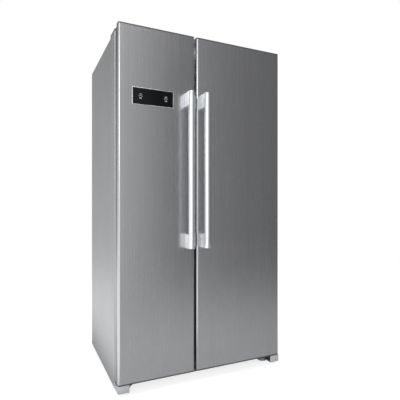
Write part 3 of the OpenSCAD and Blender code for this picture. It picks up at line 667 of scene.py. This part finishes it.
# %% Cabinet
RETURN_WIDTH = 0.02
TOP_ROUND = 0.003
FRONT_ROUND = 0.002
SHEET = 0.001
lo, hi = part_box("cabinet_shell")
GROOVE = (lo.y + 0.040, lo.y + 0.042)
shell = block("cabinet_shell_piece", lo, hi)
faces(shell, lambda centre, normal: normal.y < -0.9)
inset(RETURN_WIDTH)
faces(shell, lambda centre, normal: normal.y > 0.9 or normal.z < -0.9
      or (normal.y < -0.9 and abs(centre.x) < 0.01 and abs(centre.z - (lo.z + hi.z) / 2) < 0.01))
bpy.ops.mesh.delete(type="FACE")
leave()
edges(shell, lambda a, b: abs(a.x) > hi.x - 0.0001 and abs(b.x) > hi.x - 0.0001
      and abs(a.z - hi.z) < 0.0001 and abs(b.z - hi.z) < 0.0001)
bevel(TOP_ROUND, 3)
edges(shell, lambda a, b: abs(a.y - lo.y) < 0.0001 and abs(b.y - lo.y) < 0.0001
      and max(abs(a.x), a.z - hi.z + hi.x) > hi.x - 0.0035
      and max(abs(b.x), b.z - hi.z + hi.x) > hi.x - 0.0035)
bevel(FRONT_ROUND, 3)
for level in GROOVE:
    faces(shell, lambda centre, normal: True)
    bpy.ops.mesh.bisect(plane_co=(0, level, 0), plane_no=(0, 1, 0))
    leave()
faces(shell, lambda centre, normal: abs(normal.y) < 0.5
      and GROOVE[0] < centre.y < GROOVE[1])
inset(0.0003, -0.0005)
apply_modifier(shell, "SOLIDIFY", thickness=SHEET, offset=-1)
settle(shell, "cabinet_shell")
print("cabinet", len(shell.data.polygons), "faces")

# %% [markdown]
# ## Display
#
# The display is a strip of black glass in a thin frame. On the glass sit two small clusters
# of plain marks, in three rows: a bar, an arc between two dots, and a thicker bar. They
# carry no lettering. The frame is a block whose front is inset and sunk, and the glass is a
# slab with softly rounded edges.

# %% Display
FRAME_WIDTH = 0.0034
FRAME_SUNK = 0.0022
lo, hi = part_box("display_bezel")
bezel = block("display_bezel_piece", lo, hi)
faces(bezel, lambda centre, normal: normal.y < -0.9)
bpy.ops.mesh.inset(thickness=FRAME_WIDTH, depth=0.0)
bpy.ops.mesh.extrude_region_move(TRANSFORM_OT_translate={"value": (0, FRAME_SUNK, 0)})
leave()
round_edges(bezel, 0.0009, 3)
settle(bezel, "display_bezel")

lo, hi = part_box("display_glass")
glass = block("display_glass_piece", lo, hi)
edges(glass, lambda a, b: max(a.y, b.y) < lo.y + 0.0001)
bevel(0.0008, 3)
settle(glass, "display_glass")


MARK_OUT = 0.0002
BARS = ((0.0085, 0.012, 0.0022), (-0.0115, 0.011, 0.0030))  # each bar's level, width, height
ARC_RADIUS = 0.0044
ARC_INNER = 0.76  # the arc's inner radius as a share of its outer one
ARC_DOWN = 0.0005
ARC_CUT = 0.0022
DOT_AWAY = 0.0078
DOT_HALF = (0.0014, 0.0012)
CLUSTER_AWAY = 0.0635


def icon_cluster(name, centre_x, centre_z, front):
    """Three rows of plain marks: a bar, an arc between two dots, and a thicker bar."""
    parts = []
    for level, wide, tall in BARS:
        parts.append(block("mark", (centre_x - wide / 2, front - MARK_OUT, centre_z + level),
                           (centre_x + wide / 2, front, centre_z + level + tall)))
    arc = add("arc", "circle", vertices=24, radius=ARC_RADIUS, fill_type="NOTHING",
              location=(centre_x, front - MARK_OUT / 2, centre_z - ARC_DOWN),
              rotation=TURN["Y"])
    faces(arc, lambda centre, normal: False)
    bpy.ops.mesh.select_mode(type="VERT")
    bpy.ops.mesh.select_all(action="SELECT")
    bpy.ops.mesh.extrude_region_move(TRANSFORM_OT_translate={"value": (0, 0, 0)})
    bpy.ops.transform.resize(value=(ARC_INNER, 1, ARC_INNER),
                             center_override=(centre_x, front, centre_z - ARC_DOWN))
    bpy.ops.mesh.select_all(action="SELECT")
    bpy.ops.mesh.bisect(plane_co=(0, 0, centre_z - ARC_CUT), plane_no=(0, 0, 1),
                        clear_inner=True)
    leave()
    parts.append(arc)
    for side_x in (-DOT_AWAY, DOT_AWAY):
        parts.append(block("dot", (centre_x + side_x - DOT_HALF[0], front - MARK_OUT,
                                   centre_z - DOT_HALF[1]),
                           (centre_x + side_x + DOT_HALF[0], front,
                            centre_z + DOT_HALF[1])))
    return join(name, parts)


middle = (lo.x + hi.x) / 2
low = (lo.z + hi.z) / 2 + 0.0005
icons = join("display_icons",
             [icon_cluster("icons_left", middle - CLUSTER_AWAY, low, lo.y),
              icon_cluster("icons_right", middle + CLUSTER_AWAY, low, lo.y)])
settle(icons, "display_glass", "icon_ink", stands_for=False)
print("icons", len(icons.data.polygons), "faces")

# %% [markdown]
# ## Doors
#
# A door is a folded steel skin between two moulded end caps, filled with foam, with a
# moulded lining behind and a magnetic seal. Their shapes are already right, so each gets
# only the eased edges that a fold or a mould leaves. The seal is soft, and has a channel
# pressed along its face, where the magnet lies, and another round its sides.

# %% Doors
for side in ("left", "right"):
    eased(side + "_door_skin", 0.0003, 1)
    eased(side + "_door_caps", 0.0009, 2)
    eased(side + "_door_liner", 0.0028, 3)
    seal = merged_copy(side + "_door_seal")
    faces(seal, lambda centre, normal: normal.y > 0.9)
    inset(0.004, -0.0016)
    faces(seal, lambda centre, normal: abs(normal.y) < 0.5)
    inset(0.003, -0.0012)
    round_edges(seal, 0.0007, 2)
    settle(seal, side + "_door_seal")
    print(side, "door dressed,", len(seal.data.polygons), "faces in the seal")

# %% [markdown]
# ## Plain fittings
#
# Hinges are bent and punched plate, covers are moulded, and the machine compartment holds
# folded sheet and thin tube. In each the mechanical shape stays and its edges are eased by
# what the process leaves: under a millimetre on plate, more on a moulding. Thin tube and
# fins are left as they are.

# %% Plain fittings
EASE = {"upper_hinges": 0.0007, "lower_hinges": 0.0008, "hinge_covers": 0.0022,
        "foot_covers": 0.0014, "toe_grille": 0.0008, "base_frame": 0.0005,
        "back_panel": 0.0008, "machine_cover": 0.0007, "roller_brackets": 0.0006,
        "control_box": 0.002, "cord_inlet": 0.0012, "condenser": 0.0,
        "refrigerant_pipes": 0.0, "condenser_fan_frame": 0.0012, "evaporator": 0.0,
        "evaporator_cover": 0.0009, "evaporator_fan_motor": 0.001,
        "fridge_air_duct": 0.0009, "freezer_liner": 0.0008, "fridge_liner": 0.0008,
        "mullion_strip": 0.0003, "ice_maker_frame": 0.0009, "ice_tray": 0.0012,
        "compressor": 0.0012, "compressor_mounts": 0.001, "shelf_trims": 0.0028,
        "freezer_shelves": 0.0012, "fridge_shelves": 0.0012, "interior_lamps": 0.004,
        "rear_roller_left": 0.0022, "rear_roller_right": 0.0022}
for node, width in EASE.items():
    eased(node, width)
print("eased", len(EASE), "fittings")

# %% [markdown]
# ## Moulded tubs
#
# Door bins, drawers, crispers, the ice bin and the drain pan are moulded tubs. A mould needs
# rounded corners and walls that lean outwards a little, or the piece would not come out. A
# block is rounded along its upright edges and round its floor, the floor is drawn in, the
# top is taken away, and the skin is given its wall thickness. Each door bin also has an
# aluminium rail let into the wall that faces the shelves.

# %% Moulded tubs
def tub(name, lo, hi, wall=0.0026, corner=0.012, draw=0.985):
    """A moulded tub, open at the top."""
    lo, hi = Vector(lo), Vector(hi)
    made = block(name, lo, hi)
    edges(made, upright("Z"))
    bevel(corner, 4)
    edges(made, lambda a, b: max(a.z, b.z) < lo.z + 0.0001)
    bevel(corner * 0.6, 3)
    middle = (lo + hi) / 2
    faces(made, lambda centre, normal: centre.z < lo.z + corner * 0.62)
    bpy.ops.transform.resize(value=(draw, draw, 1), center_override=(middle.x, middle.y, lo.z))
    leave()
    faces(made, lambda centre, normal: normal.z > 0.9 and centre.z > hi.z - 0.0001)
    bpy.ops.mesh.delete(type="FACE")
    leave()
    apply_modifier(made, "SOLIDIFY", thickness=wall, offset=-1)
    round_edges(made, 0.0006, 2, 50)
    return made


BIN_HEIGHT = 0.105
TRIM_UP = 0.062
TRIM_HEIGHT = 0.012
BIN_LEVELS = (0.0, 1 / 3, 2 / 3, 1.0)
for side in ("left", "right"):
    lo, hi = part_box(side + "_door_bins")
    low = (lo.z, hi.z - BIN_HEIGHT)
    first = tub("bin", lo, (hi.x, hi.y, lo.z + BIN_HEIGHT), 0.003, 0.014)
    bins = [first] + [copy_of(first, "bin", (0, 0, (low[1] - low[0]) * share))
                      for share in BIN_LEVELS[1:]]
    rails = []
    for share in BIN_LEVELS:
        level = low[0] + (low[1] - low[0]) * share + TRIM_UP
        rail = block("rail", (lo.x + 0.02, hi.y - 0.0042, level),
                     (hi.x - 0.02, hi.y - 0.0002, level + TRIM_HEIGHT))
        round_edges(rail, 0.0016, 3)
        rails.append(rail)
    settle(join(side + "_door_bins_piece", bins), side + "_door_bins")
    settle(join(side + "_door_bin_trims", rails), side + "_door_bins", "drawn_aluminium",
           stands_for=False)
print("door bins made")

lo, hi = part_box("ice_bin")
settle(tub("ice_bin_piece", lo, hi, 0.003, 0.014), "ice_bin")
lo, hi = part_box("drain_pan")
settle(tub("drain_pan_piece", lo, hi, 0.003, 0.016), "drain_pan")

# %% [markdown]
# ## Drawers
#
# A drawer is a tub with a thicker front. The front has a scooped grip near its top, which
# is an area of the front face that is inset twice and pushed in.

# %% Drawers
FRONT_WALL = 0.012
GRIP_HALF = (0.06, 0.013)
GRIP_DOWN = 0.034
for node in ("freezer_drawer_upper", "freezer_drawer_lower", "crisper_upper", "crisper_lower"):
    lo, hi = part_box(node)
    body = tub("tub", (lo.x, lo.y + 0.008, lo.z), (hi.x, hi.y, hi.z - 0.014), 0.003, 0.012)
    front = block("front", lo, (hi.x, lo.y + FRONT_WALL, hi.z))
    middle, grip = (lo.x + hi.x) / 2, hi.z - GRIP_DOWN
    wide, tall = GRIP_HALF
    for place, across in ((middle - wide, (1, 0, 0)), (middle + wide, (1, 0, 0)),
                          (grip - tall, (0, 0, 1)), (grip + tall, (0, 0, 1))):
        faces(front, lambda centre, normal: True)
        bpy.ops.mesh.bisect(plane_co=[place * a for a in across], plane_no=across)
        leave()
    faces(front, lambda centre, normal: normal.y < -0.9 and abs(centre.x - middle) < wide
          and abs(centre.z - grip) < tall)
    bpy.ops.mesh.inset(thickness=0.0012, depth=0.0)
    bpy.ops.mesh.inset(thickness=0.004, depth=-0.006)
    leave()
    round_edges(front, 0.0015, 3, 25)
    settle(join(node + "_piece", [body, front]), node)
    print(node, "made")

# %% [markdown]
# ## Fans
#
# The blades of a small cooling fan are broad, rounded at their tips, pitched, and twisted
# so that the tip lies flatter than the root. One flat grid is narrowed towards its tip and
# cupped, twisted with a modifier, pitched, and given its thickness. Then it is copied round
# the hub.

# %% Fans
BLADES = 5


def fan_wheel(node, along, radius, hub, depth):
    """A bladed wheel in the place of its node, facing along one axis."""
    lo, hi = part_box(node)
    nave = rod("nave", (0, 0, 0), hub, depth)
    edges(nave, lambda a, b: min(a.z, b.z) > depth / 2 - 0.0001)
    bevel(0.004, 4)
    reach = radius * 0.94
    blade = add("blade", "grid", x_subdivisions=14, y_subdivisions=6, size=1,
                location=((hub + reach) / 2 - 0.001, 0, 0),
                scale=(reach - hub + 0.002, radius * 0.56, 1))
    for point in blade.data.vertices:
        tip = max(0.0, (point.co.x - 0.62 * reach) / (0.38 * reach))
        point.co.y *= math.sqrt(max(0.0, 1 - 0.72 * tip ** 3))
        point.co.z += 1.2 * point.co.y ** 2
    apply_modifier(blade, "SIMPLE_DEFORM", deform_method="TWIST", deform_axis="X",
                   angle=math.radians(-12))
    faces(blade, lambda centre, normal: True)
    bpy.ops.transform.rotate(value=math.radians(25), orient_axis="X",
                             center_override=(0, 0, 0))
    leave()
    apply_modifier(blade, "SOLIDIFY", thickness=0.0018, offset=0)
    round_edges(blade, 0.0004, 1, 50)
    parts = [nave]
    for step in range(BLADES):
        each = copy_of(blade, "blade")
        each.data.transform(Matrix.Rotation(math.radians(360 / BLADES * step), 4, "Z"))
        parts.append(each)
    bpy.data.objects.remove(blade)
    wheel = join(node + "_piece", parts)
    turned = {"X": Matrix.Rotation(math.radians(90), 4, "Y"),
              "Y": Matrix.Rotation(math.radians(-90), 4, "X")}[along]
    wheel.data.transform(Matrix.Translation((lo + hi) / 2) @ turned)
    return settle(wheel, node)


fan_wheel("condenser_fan_blade", "X", 0.062, 0.020, 0.018)
fan_wheel("evaporator_fan_blade", "Y", 0.052, 0.016, 0.015)
print("fans made")

# %% [markdown]
# ## Levelling feet
#
# A levelling foot is a plastic disc on a threaded stud. The rim is notched so that fingers
# can turn it. The disc starts as a round bar with twice as many faces as notches, and every
# second face is sunk. The thread is a stack of rings, alternately wide and narrow.

# %% Levelling feet
DISC_HEIGHT = 0.014
DISC_SIDES = 48
STUD_RADIUS = 0.0049
STUD_START = 0.012
THREAD_TURNS = 22
THREAD_ROOT = 0.86


def levelling_foot(node):
    """One foot with its stud."""
    lo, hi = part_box(node)
    centre = (lo + hi) / 2
    radius = (hi.x - lo.x) / 2
    disc = rod("disc", (centre.x, centre.y, DISC_HEIGHT / 2), radius, DISC_HEIGHT,
               sides=DISC_SIDES)

    def notched(c, n):
        turned = (math.atan2(c.y - centre.y, c.x - centre.x) + math.pi) / math.tau
        return abs(n.z) < 0.5 and int(turned * DISC_SIDES) % 2

    faces(disc, notched)
    bpy.ops.mesh.inset(thickness=0.0002, depth=-0.001, use_individual=True)
    leave()
    edges(disc, lambda a, b: min(a.z, b.z) > DISC_HEIGHT - 0.0001)
    bevel(0.0025, 3)
    length = hi.z - STUD_START
    stud = rod("stud", (centre.x, centre.y, (STUD_START + hi.z) / 2), STUD_RADIUS, length,
               sides=24)
    for step in range(1, 2 * THREAD_TURNS):
        level = STUD_START + length * step / (2 * THREAD_TURNS)
        faces(stud, lambda c, n: True)
        bpy.ops.mesh.bisect(plane_co=(0, 0, level), plane_no=(0, 0, 1))
        leave()
    pitch = length / THREAD_TURNS
    for point in stud.data.vertices:
        if round((point.co.z - STUD_START) / pitch * 2) % 2:
            point.co.x = centre.x + (point.co.x - centre.x) * THREAD_ROOT
            point.co.y = centre.y + (point.co.y - centre.y) * THREAD_ROOT
    settle(stud, node, "zinc_sheet", stands_for=False)
    stud.name = node + "_stud"
    disc.name = node + "_disc"
    return settle(disc, node)


for node in ("levelling_foot_left", "levelling_foot_right"):
    print(node, len(levelling_foot(node).data.polygons), "faces")

# %% [markdown]
# ## Screws
#
# Every hinge screw has a low domed head with a cross recess. One head is turned from a round
# bar, its rim rounded, and a cross of two blocks is cut from it. It is then copied to every
# place: standing up on the top hinges, and facing forwards and a size smaller on the lower
# ones.

# %% Screws
HEAD_RADIUS = 0.006
HEAD_HEIGHT = 0.0035
head = rod("head", (0, 0, HEAD_HEIGHT / 2), HEAD_RADIUS, HEAD_HEIGHT, sides=32)
edges(head, lambda a, b: min(a.z, b.z) > HEAD_HEIGHT - 0.0001)
bevel(0.0016, 4)
cross = [block("cross", (-0.0032, -0.0005, 0.002), (0.0032, 0.0005, 0.005)),
         block("cross", (-0.0005, -0.0032, 0.002), (0.0005, 0.0032, 0.005))]
for cutter in cross:
    apply_modifier(head, "BOOLEAN", operation="DIFFERENCE", object=cutter)
    bpy.data.objects.remove(cutter)
PLATE = 0.003
FLANGE_BACK = 0.003  # how far the lower flange lies behind the cabinet's front
BOSS_DROP = 0.007
SCREW_DROP = 0.022
SMALLER = 5 / 6
TOP_AWAY = (0.024, 0.052)
TOP_BACK = (0.024, 0.074)
LOW_AWAY = (0.066, 0.088)
face_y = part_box("cabinet_shell")[0].y
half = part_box("cabinet_shell")[1].x
top_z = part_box("cabinet_shell")[1].z + PLATE
low_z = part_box("left_door_caps")[0].z + BOSS_DROP - SCREW_DROP
places = []
for sign in (-1, 1):
    for away in TOP_AWAY:
        for back in TOP_BACK:
            places.append(Matrix.Translation((sign * (half - away), face_y + back, top_z)))
    for away in LOW_AWAY:
        places.append(Matrix.Translation((sign * (half - away), face_y + FLANGE_BACK, low_z))
                      @ Matrix.Rotation(math.radians(90), 4, "X") @ Matrix.Scale(SMALLER, 4))
heads = []
for place in places:
    each = copy_of(head, "screw")
    each.data.transform(place)
    heads.append(each)
bpy.data.objects.remove(head)
settle(join("hinge_screws_piece", heads), "hinge_screws")
print("screws", len(places))

# %% [markdown]
# ## Floor and end of the lesson
#
# The floor is a wide pale sheet that fades out a few metres away, so that no horizon shows.
# Seen directly it glows, like paper lit from behind, and what mirrors it sees only its grey,
# with some glow kept on the left of the object.

# %% Floor and finish
FLOOR_SIZE = 60
FLOOR_DROP = 0.0006
RAMP_REACH = 8.0  # metres from one end of the floor's ramps to the other
DIRECT_GLOW = 0.80
paper = add("floor", "plane", size=FLOOR_SIZE, location=(0, 0, -FLOOR_DROP))
faces(paper, lambda centre, normal: True)
bpy.ops.mesh.subdivide(number_cuts=3)
leave()
floor_paper = Finish("floor_paper", **{"Emission Strength": 1.0})
reach = floor_paper.node("VectorMath", {"operation": "LENGTH"}, {0: floor_paper.place()},
                         output="Value")
fade = floor_paper.node("ValToRGB", {"stops": [(0.05, grey(1.0)), (0.68, grey(0.0))]},
                        {"Fac": reach / RAMP_REACH}, "Color")
beside = floor_paper.node("ValToRGB", {"stops": [(0.41, grey(0.75)), (0.4445, grey(0.0))]},
                          {"Fac": floor_paper.axis("X") / RAMP_REACH + 0.5}, "Color")
glow = floor_paper.blend(floor_paper.node("LightPath", output="Is Camera Ray"), beside,
                         grey(DIRECT_GLOW))
floor_paper.build((0.55, 0.55, 0.55), 0.6, floor_paper.noise(0.004), 0.00005, Alpha=fade,
                  **{"Emission Color": glow})
paper.data.materials.append(finishes["floor_paper"])

bpy.context.view_layer.update()
